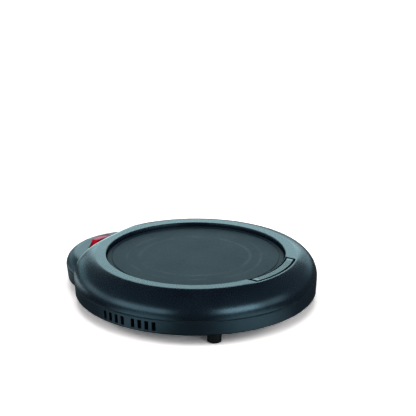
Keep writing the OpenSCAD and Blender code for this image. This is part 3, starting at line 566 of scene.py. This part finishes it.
@dataclass(frozen=True)
class TintedLens(Finish):
    """Clear red plastic over a lamp, crowned across its width."""

    roughness: float = 0.22
    flow: float = 0.006
    flow_depth: float = 0.00002
    eased: float = 0.0008
    middle: float = 0.054  # y of the crown's ridge
    crown: float = 0.01
    # spans of the painted highlight on the top and of the painted shade at the ends and beside the
    # step
    highlight_ends: Span = (0.003, 0.0075)
    shaded_ends: Span = (0.0065, 0.009)
    step_side: Span = (0.0526, 0.0546)
    highlight_tint: Colour = (0.42, 0.01, 0.08)
    reflectance: float = 0.07
    tint: Colour = (1.0, 0.5, 0.75)

    def surface(self, graph: Graph) -> dict[str, object]:
        """Painted highlight tint on the top's far half, painted shade at the ends and on the near
        half beside the step.

        The crown's height falls with the square of the distance from the middle,
        over twice the crown's radius.

        Args:
            graph: the tree to add to.

        Returns:
            Inputs of the Principled shader.
        """
        flow = graph.noise(self.flow, 2.0)
        x, y, _ = graph.axes()
        away = y - self.middle
        fall = away * away * (-0.5 / self.crown)
        crowned = graph.relief(fall, 1.0, graph.eased_normal(self.eased))
        # painted highlight on the far half of the top; painted shade at the ends and on the near
        # half
        top = y.between(*self.step_side)
        painted_highlight_mask = top * (1.0 - x.size().between(*self.highlight_ends))
        painted_shade_mask = x.size().between(*self.shaded_ends).above(1.0 - top)
        # painted shade, plus random tone from the flow noise
        shade = painted_shade_mask * 0.85 + (1.0 - flow.between(0.3, 0.75)) * 0.15
        body = graph.mix(painted_highlight_mask, self.colour, self.highlight_tint)
        return {
            "Base Color": graph.mix(shade, body, scaled(self.colour, 0.22)),
            "Roughness": self.roughness + flow.swing(0.06),
            "Normal": graph.relief(flow, self.flow_depth, crowned),
            "Specular IOR Level": self.reflectance,
            "Specular Tint": (*self.tint, 1.0),
        }


class Lay(Enum):
    """Direction in which a metal was worked, as what it does to a noise's three axes."""

    NONE = (1.0, 1.0, 1.0)
    ALONG_X = (0.06, 1.0, 1.0)
    ALONG_Y = (1.0, 0.06, 1.0)


@dataclass(frozen=True)
class WorkedMetal(Finish):
    """Bare or plated metal with the marks of rolling or drawing."""

    roughness: float = 0.3
    lay: Lay = Lay.NONE
    mark: float = 0.0003
    mark_depth: float = 0.000004
    cloud: float = 0.003
    tarnish: float = 0.25
    eased: float = 0.00012

    def surface(self, graph: Graph) -> dict[str, object]:
        """Streaks along the lay, and a dull cloud of tarnish.

        Args:
            graph: the tree to add to.

        Returns:
            Inputs of the Principled shader.
        """
        streak = graph.noise(self.mark, 2.0, stretch=self.lay.value)
        cloud = graph.noise(self.cloud, 3.0)
        tarnished = cloud.between(0.45, 0.75) * self.tarnish
        return {
            "Base Color": graph.shades(tarnished, self.colour, 1.0, 0.6),
            "Metallic": 1.0,
            "Roughness": self.roughness + streak.swing(0.2) + cloud.swing(0.1),
            "Normal": graph.relief(streak, self.mark_depth, graph.eased_normal(self.eased)),
        }


@dataclass(frozen=True)
class SoftRubber(Finish):
    """Moulded rubber: matt, with a bloom of wax in patches."""

    roughness: float = 0.68
    bloom: float = 0.0025
    tooth: float = 0.0002
    tooth_depth: float = 0.00001
    eased: float = 0.0003
    reflectance: float = 0.25

    def surface(self, graph: Graph) -> dict[str, object]:
        """Bloom in the colour and a fine tooth in the normal.

        Args:
            graph: the tree to add to.

        Returns:
            Inputs of the Principled shader.
        """
        bloom = graph.noise(self.bloom, 4.0, 0.6).between(0.5, 0.8)
        tooth = graph.noise(self.tooth, 2.0)
        return {
            "Base Color": graph.mix(bloom * 0.5, self.colour, scaled(self.colour, 2.2, 0.004)),
            "Roughness": self.roughness + tooth.swing(0.15),
            "Normal": graph.relief(tooth, self.tooth_depth, graph.eased_normal(self.eased)),
            "Specular IOR Level": self.reflectance,
        }


@dataclass(frozen=True)
class FlakeSheet(Finish):
    """Pressed mica: flakes of several shades with a silky gloss."""

    roughness: float = 0.25
    flake: float = 0.003
    flake_depth: float = 0.00001

    def surface(self, graph: Graph) -> dict[str, object]:
        """One shade for each flake, with its own gloss.

        Args:
            graph: the tree to add to.

        Returns:
            Inputs of the Principled shader.
        """
        cell = graph.add(
            "ShaderNodeTexVoronoi", {"feature": "F1"},
            {"Vector": graph.place(), "Scale": 1.0 / self.flake, "Randomness": 1.0}, output="Color",
        )
        tone = graph.add("ShaderNodeSeparateColor", {}, {"Color": cell})
        return {
            "Base Color": graph.shades(tone, self.colour, 0.7, 1.25),
            "Roughness": self.roughness + tone * 0.25,
            "Normal": graph.relief(tone, self.flake_depth),
        }


@dataclass(frozen=True)
class FibrePad(Finish):
    """Felted mineral fibre."""

    roughness: float = 0.85
    fibre: float = 0.000625
    fibre_depth: float = 0.00008

    def surface(self, graph: Graph) -> dict[str, object]:
        """Long fibres as stretched noise, matt throughout.

        Args:
            graph: the tree to add to.

        Returns:
            Inputs of the Principled shader.
        """
        fibre = graph.noise(self.fibre, 4.0, stretch=(1.0, 0.2, 1.0))
        return {
            "Base Color": graph.shades(fibre.between(0.35, 0.65), self.colour, 0.7, 1.0),
            "Roughness": self.roughness + fibre.swing(0.1),
            "Normal": graph.relief(fibre, self.fibre_depth),
        }


@dataclass(frozen=True)
class PlainMoulding(Finish):
    """Small moulded or glazed part: resin, sleeve, cap or lead jacket."""

    roughness: float = 0.4
    speckle: float = 0.3
    filler: float = 0.0006
    filler_depth: float = 0.00001
    eased: float = 0.00015

    def surface(self, graph: Graph) -> dict[str, object]:
        """Speckled filler in the colour and a faint texture in the normal.

        Args:
            graph: the tree to add to.

        Returns:
            Inputs of the Principled shader.
        """
        filler = graph.noise(self.filler, 3.0, 0.6)
        specks = filler.between(0.3, 0.7)
        return {
            "Base Color": graph.shades(specks, self.colour, 1.0 - self.speckle, 1.0),
            "Roughness": self.roughness + filler.swing(0.15),
            "Normal": graph.relief(filler, self.filler_depth, graph.eased_normal(self.eased)),
        }


def dress(finish: Finish, *nodes: str) -> None:
    """Put a finish on nodes of the frame.

    Args:
        finish: the finish.
        nodes: names of the nodes.
    """
    for name in nodes:
        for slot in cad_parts[name].material_slots:
            slot.material = finish.material()
        LOG.info("%s in %s", name, finish.name)


@dataclass
class Housings:
    """Upper and lower shell and the inlay strip between recess and shoulder."""

    upper: Finish = ShellPlastic(
        "satin_upper_shell", linear("080c15"),
        roughness=0.27, reflectance=0.7, tint=(0.5, 0.84, 1.0),
    )
    lower: Finish = TrayPlastic(
        "satin_lower_shell", linear("070b13"),
        roughness=0.46, reflectance=0.7, tint=(0.5, 0.84, 1.0),
    )
    strip: Finish = StripPlastic(
        "inlay_strip", linear("1b262b"),
        roughness=0.18, reflectance=0.7, tint=(0.6, 1.0, 1.0), eased=0.0002,
    )

    def build(self) -> None:
        """Dress both shells and the strip."""
        dress(self.upper, "top_housing")
        dress(self.lower, "base_housing")
        dress(self.strip, "front_inlay")


@dataclass
class HeatedPlate:
    """The plate that the mug stands on, its seal and the heater under it."""

    enamel: Finish = StovedEnamel("stoved_plate", linear("121c24"), roughness=0.54)
    seal: Finish = SoftRubber("silicone_seal", linear("8d8377"))
    mica: Finish = FlakeSheet("mica_sheet", linear("b9a574"))
    track: Finish = WorkedMetal("etched_track", linear("9b9489"), roughness=0.35, tarnish=0.4)
    pad: Finish = FibrePad("fibre_pad", linear("e4e1d8"))
    steel: Finish = WorkedMetal(
        "galvanised_steel", linear("aeb3b5"), roughness=0.38, lay=Lay.ALONG_X,
    )
    shield: Finish = WorkedMetal(
        "heat_shield_sheet", linear("c4c8ca"), roughness=0.3, lay=Lay.ALONG_Y,
    )

    def build(self) -> None:
        """Dress the stack from the plate down to the heat shield."""
        dress(self.enamel, "hot_plate")
        dress(self.seal, "plate_seal")
        dress(self.mica, "upper_mica_sheet", "lower_mica_sheet")
        dress(self.track, "heating_track")
        dress(self.pad, "insulation_pad")
        dress(self.steel, "clamp_plate")
        dress(self.shield, "heat_shield")


@dataclass
class Controls:
    """Thermostat, thermal fuse and the rocker switch."""

    lens: Finish = TintedLens("crimson_lens", linear("b2081e"))
    case: Finish = PlainMoulding("black_case", linear("20201f"), roughness=0.45)
    resin: Finish = PlainMoulding("phenolic_case", linear("2b2320"), roughness=0.5, speckle=0.5)
    cap: Finish = WorkedMetal("drawn_cap", linear("c4c8ca"), roughness=0.28)
    brass: Finish = WorkedMetal("stamped_brass", linear("c9b27c"), roughness=0.3, lay=Lay.ALONG_Y)
    copper: Finish = WorkedMetal("copper_contact", linear("c77a4a"), roughness=0.3, lay=Lay.ALONG_X)
    tinned: Finish = WorkedMetal("tinned_metal", linear("b8bcbe"), roughness=0.35)
    spring: Finish = WorkedMetal("spring_wire", linear("b9bdbf"), roughness=0.25)
    nylon: Finish = PlainMoulding("white_nylon", linear("d8d4c8"), roughness=0.4, speckle=0.1)
    glow: Finish = PlainMoulding("neon_glass", linear("f0a070"), roughness=0.1, speckle=0.1)
    resistor: Finish = PlainMoulding("resistor_lacquer", linear("c8b088"), roughness=0.35)

    def build(self) -> None:
        """Dress every piece of the controls."""
        dress(self.lens, "switch_rocker")
        dress(self.case, "switch_case")
        dress(self.resin, "thermostat_case")
        dress(self.cap, "thermostat_cap", "fuse_clip")
        dress(self.brass, "thermostat_terminals", "switch_terminals")
        dress(self.copper, "contact_lever")
        dress(self.tinned, "thermal_fuse", "crimp_barrels")
        dress(self.spring, "plunger_spring")
        dress(self.nylon, "switch_plunger", "splice_caps")
        dress(self.glow, "switch_lamp")
        dress(self.resistor, "lamp_resistor")


@dataclass
class Wiring:
    """Cord inlet, clamp and the leads between the inner pieces."""

    bush: Finish = SoftRubber("cord_bush_rubber", linear("15191c"))
    clamp: Finish = PlainMoulding("clamp_moulding", linear("2a2f33"))
    sleeve: Finish = PlainMoulding("sleeve_moulding", linear("a8322c"), roughness=0.3)
    dark: Finish = PlainMoulding("dark_jacket", linear("20242a"), roughness=0.35, speckle=0.15)
    pale: Finish = PlainMoulding("pale_jacket", linear("d9d9d4"), roughness=0.35, speckle=0.08)

    def build(self) -> None:
        """Dress the inlet, the clamp and every lead."""
        dress(self.bush, "cord_bush")
        dress(self.clamp, "cord_clamp")
        dress(self.sleeve, "push_on_sleeves")
        dress(self.dark, "feed_lead", "thermostat_lead", "element_lead")
        dress(self.pale, "lamp_lead", "fuse_lead", "neutral_lead")


@dataclass
class Fixings:
    """Screws, nuts, washers and feet."""

    screw: Finish = WorkedMetal("plated_fastener", linear("c9cccd"), roughness=0.3)
    rubber: Finish = SoftRubber("foot_rubber", linear("020407"))

    def build(self) -> None:
        """Dress fasteners and feet."""
        dress(
            self.screw, "clamp_washers", "clamp_nuts", "thermostat_screws", "fuse_screw",
            "switch_screws", "cord_clamp_screws", "case_screws",
        )
        dress(
            self.rubber, "front_left_foot", "front_right_foot", "rear_left_foot",
            "rear_right_foot",
        )


@dataclass(frozen=True)
class Softbox:
    """A rectangular lamp aimed at the object."""

    name: str
    azimuth: float  # degrees from the camera's side, to the right
    elevation: float  # degrees
    distance: float
    width: float
    height: float
    radiance: float
    mirrored: bool = True  # whether reflections show it
    tone: Colour = (1.0, 1.0, 1.0)


@dataclass
class Studio:
    """Camera, floor, surround and lamps."""

    camera_place: Point = (-0.69267, -0.45467, 0.33134)
    camera_turn: Point = (71.2733, 0.0, -57.5327)  # degrees
    lens: float = 142.898  # millimetres
    boxes: tuple[Softbox, ...] = (
        Softbox("overhead_lamp", 0.0, 69.0, 1.6, 0.8, 2.8, 3.3, mirrored=False),
        Softbox("left_fill", -95.0, 24.0, 1.6, 1.0, 0.5, 7.0, mirrored=False),
        Softbox("right_fill", 95.0, 24.0, 1.6, 1.0, 0.5, 7.0, mirrored=False),
        Softbox("rear_lamp", 180.0, 17.0, 2.0, 1.3, 0.75, 1.52, tone=(0.66, 0.98, 1.0)),
        Softbox("left_rear_lamp", -138.0, 8.0, 2.0, 1.3, 0.6, 0.5, tone=(0.5, 0.92, 1.0)),
        Softbox("left_lamp", -50.0, 8.0, 1.5, 1.5, 0.6, 2.4, tone=(0.9, 0.97, 1.0)),
        Softbox("left_side_lamp", -98.0, 6.0, 1.5, 1.2, 0.45, 1.1, tone=(0.8, 0.94, 1.0)),
        Softbox("right_lamp", 40.0, 11.0, 1.5, 0.9, 0.5, 5.6, tone=(0.9, 0.97, 1.0)),
        Softbox("right_side_lamp", 70.0, 10.0, 1.5, 0.9, 0.5, 1.3, tone=(0.9, 0.97, 1.0)),
        Softbox("right_rear_lamp", 146.0, 8.0, 2.0, 0.8, 0.6, 0.25, tone=(0.5, 0.85, 1.0)),
    )
    aim_height: float = 0.02
    floor_half: float = 4.0
    floor_seen: Colour = (1.5, 1.42, 1.4)
    floor_fade: Span = (0.2, 1.2)
    floor_bounce: float = 0.5
    floor_shade: float = 0.06
    floor_tone: Colour = (0.76, 0.95, 1.0)
    light_pools: tuple[Point, ...] = (  # painted pools of light, seen only in reflections: to the right, towards the camera, and how bright
        (0.063, 0.082, 1.15), (-0.053, 0.087, 1.15), (-0.112, -0.032, 1.0),
    )
    pool_edge: Span = (0.012, 0.05)
    room: float = 0.07
    room_tone: Colour = (0.65, 0.9, 1.0)
    sweep_low: float = 0.05
    sweep_ahead: float = 0.9
    sweep_aside: float = 0.14
    sweep_rise: Span = (0.4, 0.6)
    ahead_edge: Span = (0.8, 0.97)
    aside_edge: Span = (0.1, 0.6)

    def build(self) -> None:
        """Set up everything that isn't the object."""
        self.place_camera()
        self.lay_floor()
        self.light_surround()
        for box in self.boxes:
            self.hang(box)
        bpy.context.scene.view_settings.view_transform = "Standard"

    def side(self, azimuth: float) -> Vector:
        """Level direction at an azimuth in degrees, from the camera's side to the right."""
        turn = math.radians(self.camera_turn[2] + azimuth)
        return Vector((math.sin(turn), -math.cos(turn), 0.0))

    def place_camera(self) -> None:
        """Create the camera and make it the scene's."""
        data = bpy.data.cameras.new("portrait_camera")
        data.sensor_width = 36.0
        data.lens = self.lens
        data.clip_start, data.clip_end = 0.05, 30.0
        camera = bpy.data.objects.new("portrait_camera", data)
        camera.location = self.camera_place
        camera.rotation_euler = Euler([math.radians(a) for a in self.camera_turn])
        bpy.context.scene.collection.objects.link(camera)
        bpy.context.scene.camera = camera

    def lay_floor(self) -> None:
        """Lay the square floor that the object stands on."""
        mesh = bpy.data.meshes.new("studio_floor")
        corners = np.array([[-1, -1, 0], [1, -1, 0], [1, 1, 0], [-1, 1, 0]], float)
        mesh.from_pydata((self.floor_half * corners).tolist(), [], [(0, 1, 2, 3)])
        mesh.materials.append(self.floor_material())
        floor = bpy.data.objects.new("studio_floor", mesh)
        bpy.context.scene.collection.objects.link(floor)

    def floor_material(self) -> bpy.types.Material:
        """A pale floor that takes the object's shadow and looks white round it.

        Reflections see a dark floor with painted pools of light, where the level falls with the
        distance from each pool's middle. From below the floor is clear.

        Returns:
            The material.
        """
        material = bpy.data.materials.new("pale_floor")
        material.use_nodes = True
        graph = Graph(material.node_tree)
        right = graph.along(graph.place(), self.side(90.0))
        near = graph.along(graph.place(), self.side(0.0))
        shade = self.floor_shade
        # painted pools of light on the floor's colour for reflections
        for across, toward, level in self.light_pools:
            reach = (right - across).diagonal(near - toward)
            shade = shade + (1.0 - reach.between(*self.pool_edge)) * level
        mirrored = graph.colour(shade, self.floor_tone)
        far = 1.0 + right.diagonal(near).between(*self.floor_fade)
        seen = graph.colour(far, self.floor_seen)
        unseen = graph.mix(graph.ray("Is Glossy Ray"), (self.floor_bounce,) * 3, mirrored)
        shown = graph.mix(graph.ray("Is Camera Ray"), unseen, seen)
        pale = graph.add("ShaderNodeBsdfDiffuse", {}, {"Color": shown})
        clear = graph.add("ShaderNodeBsdfTransparent")
        below = graph.add("ShaderNodeNewGeometry", output="Backfacing")
        surface = graph.add("ShaderNodeMixShader", {}, {0: below, 1: pale, 2: clear})
        graph.add("ShaderNodeOutputMaterial", {}, {"Surface": surface})
        return material

    def light_surround(self) -> None:
        """White for the camera, a pale low sweep for reflections, a dim room for other rays."""
        world = bpy.data.worlds.new("studio_surround")
        world.use_nodes = True
        graph = Graph(world.node_tree)
        direction = graph.add("ShaderNodeTexCoord", output="Generated")
        low = 1.0 - graph.along(direction, UP).between(*self.sweep_rise)
        ahead = graph.along(direction, self.side(180.0)).between(*self.ahead_edge)
        aside = graph.along(direction, self.side(90.0)).size().between(*self.aside_edge)
        sweep = self.sweep_low + low * ahead * self.sweep_ahead + aside * self.sweep_aside
        mirrored = graph.ray("Is Glossy Ray")
        level = mirrored * sweep + (1.0 - mirrored) * self.room
        unseen = graph.colour(level, self.room_tone)
        shown = graph.mix(graph.ray("Is Camera Ray"), unseen, (1.0, 1.0, 1.0))
        background = graph.add("ShaderNodeBackground", {}, {"Color": shown, "Strength": 1.0})
        graph.add("ShaderNodeOutputWorld", {}, {"Surface": background})
        bpy.context.scene.world = world

    def hang(self, box: Softbox) -> None:
        """Hang one softbox.

        Args:
            box: its direction, distance, size and radiance.
        """
        data = bpy.data.lights.new(box.name, "AREA")
        data.shape = "RECTANGLE"
        data.size, data.size_y = box.width, box.height
        data.energy = box.radiance * math.pi * box.width * box.height
        data.color = box.tone
        lamp = bpy.data.objects.new(box.name, data)
        rise = math.radians(box.elevation)
        away = self.side(box.azimuth) * math.cos(rise) + UP * math.sin(rise)
        lamp.location = away * box.distance + UP * self.aim_height
        lamp.rotation_euler = away.to_track_quat("Z", "Y").to_euler()
        lamp.visible_glossy = box.mirrored
        lamp.visible_camera = False
        bpy.context.scene.collection.objects.link(lamp)


def main() -> None:
    """Build the studio and every sub-assembly in order."""
    logging.basicConfig(level=logging.INFO, format="%(name)s: %(message)s")
    for part in (Studio(), Housings(), HeatedPlate(), Controls(), Wiring(), Fixings()):
        part.build()
        LOG.info("%s done", type(part).__name__)


if __name__ == "__main__":
    main()
